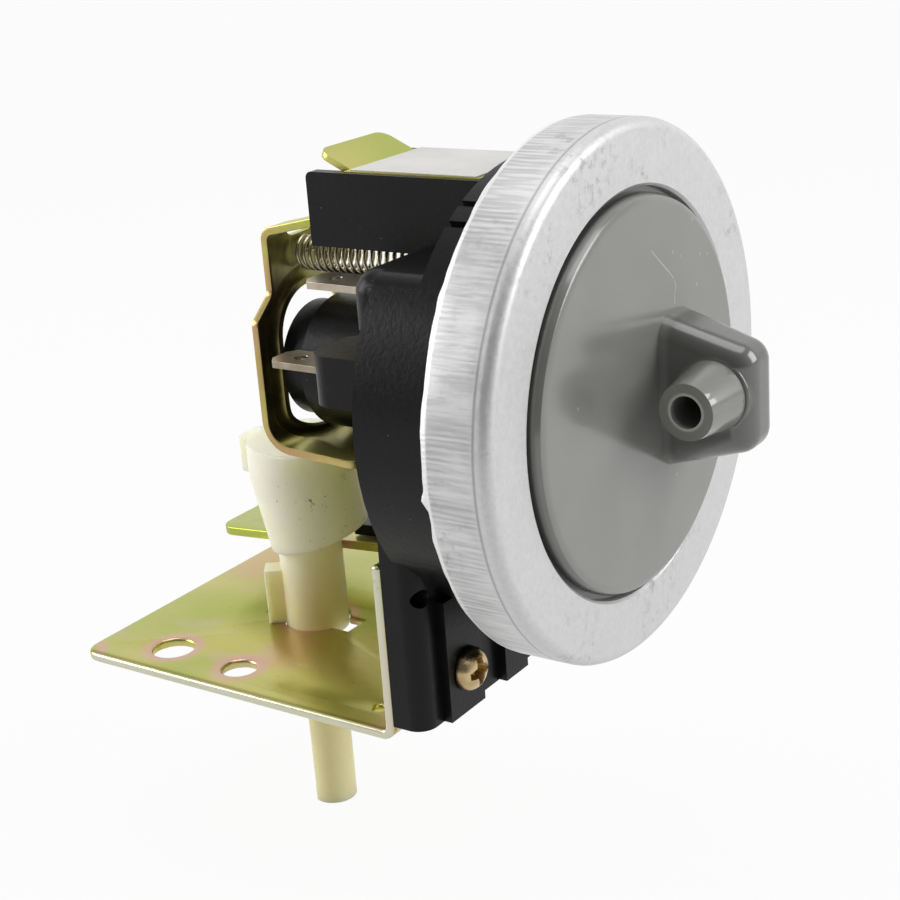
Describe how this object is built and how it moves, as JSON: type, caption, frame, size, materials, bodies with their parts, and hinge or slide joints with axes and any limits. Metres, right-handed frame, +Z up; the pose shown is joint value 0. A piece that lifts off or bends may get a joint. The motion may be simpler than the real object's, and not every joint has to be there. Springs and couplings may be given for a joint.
{
  "type": "washing machine pressure switch",
  "caption": "Water level pressure switch: diaphragm chamber with hose inlet in a crimped ring, setting lever and cam with D shaft on a folded steel bracket, two spade terminals.",
  "frame": {"origin": "where the selector shaft's axis meets the panel face of the bracket's base plate", "axes": "+Z up, from the panel towards the switch; the diaphragm axis runs along +X, 38 mm above the panel face, and the hose connector points along -Y"},
  "size_m": [0.084, 0.0612, 0.0941],
  "materials": {
    "black_plastic": "satin black phenolic or nylon moulding",
    "grey_plastic": "satin mid-grey moulding",
    "ring_aluminium": "dull rolled aluminium with fine press marks",
    "rubber": "matt moulded rubber",
    "plunger_plastic": "moulded plastic",
    "spring_steel": "plain spring wire",
    "zinc_steel": "yellow passivated zinc on sheet steel, iridescent",
    "pin_steel": "plain steel",
    "cream_plastic": "natural cream nylon, slightly dirty",
    "screw_brassy": "yellow plated steel screw",
    "label_foil": "bare silver-grey foil label",
    "terminal_metal": "tinned brass strip",
    "contact_silver": "silver contact rivet"
  },
  "bodies": {
    "switch_body": {"main_housing": "black_plastic", "pressure_cap": "grey_plastic", "crimp_ring": "ring_aluminium", "diaphragm": "rubber", "return_spring": "spring_steel", "calibration_plug": "plunger_plastic", "trip_lever_pin": "pin_steel", "range_spring": "spring_steel", "lever_pivot_pin": "pin_steel", "mounting_bracket": "zinc_steel", "bracket_screw_near": "screw_brassy", "bracket_screw_far": "screw_brassy", "top_cover": "zinc_steel", "cover_label": "label_foil", "terminal_common": "terminal_metal", "terminal_contact": "terminal_metal", "fixed_contact": "contact_silver"},
    "cam": {"selector_cam": "cream_plastic"},
    "lever": {"setting_lever": "zinc_steel"},
    "plunger": {"plunger": "plunger_plastic"},
    "trip": {"trip_lever": "zinc_steel"},
    "snap": {"snap_blade": "terminal_metal", "moving_contact": "contact_silver"}
  },
  "joints": [
    {"name": "cam_turn", "type": "hinge", "parent": "switch_body", "child": "cam", "pos_m": [0, 0, 0], "axis": [0, 0, 1], "range_deg": [0, 250]},
    {"name": "lever_tilt", "type": "hinge", "parent": "switch_body", "child": "lever", "pos_m": [0.017, 0, 0.0583], "axis": [0, 1, 0], "range_deg": [0, 4], "deforming": ["range_spring"]},
    {"name": "plunger_slide", "type": "slide", "parent": "switch_body", "child": "plunger", "axis": [-1, 0, 0], "range_m": [0, 0.0012], "stiffness_N_per_m": 300, "springref_m": -0.002, "deforming": ["return_spring", "diaphragm"]},
    {"name": "trip_tilt", "type": "hinge", "parent": "switch_body", "child": "trip", "pos_m": [0.0362, 0, 0.0462], "axis": [0, 1, 0], "range_deg": [0, 9]},
    {"name": "snap_tilt", "type": "hinge", "parent": "switch_body", "child": "snap", "pos_m": [0.0357, -0.017, 0.05], "axis": [0, 1, 0], "range_deg": [0, 4]}
  ],
  "couplings": [
    {"joint": "lever_tilt", "follows": "cam_turn", "ratio": 0.0126},
    {"joint": "trip_tilt", "follows": "plunger_slide", "rad_per_m": 124},
    {"joint": "snap_tilt", "follows": "plunger_slide", "rad_per_m": 43}
  ]
}
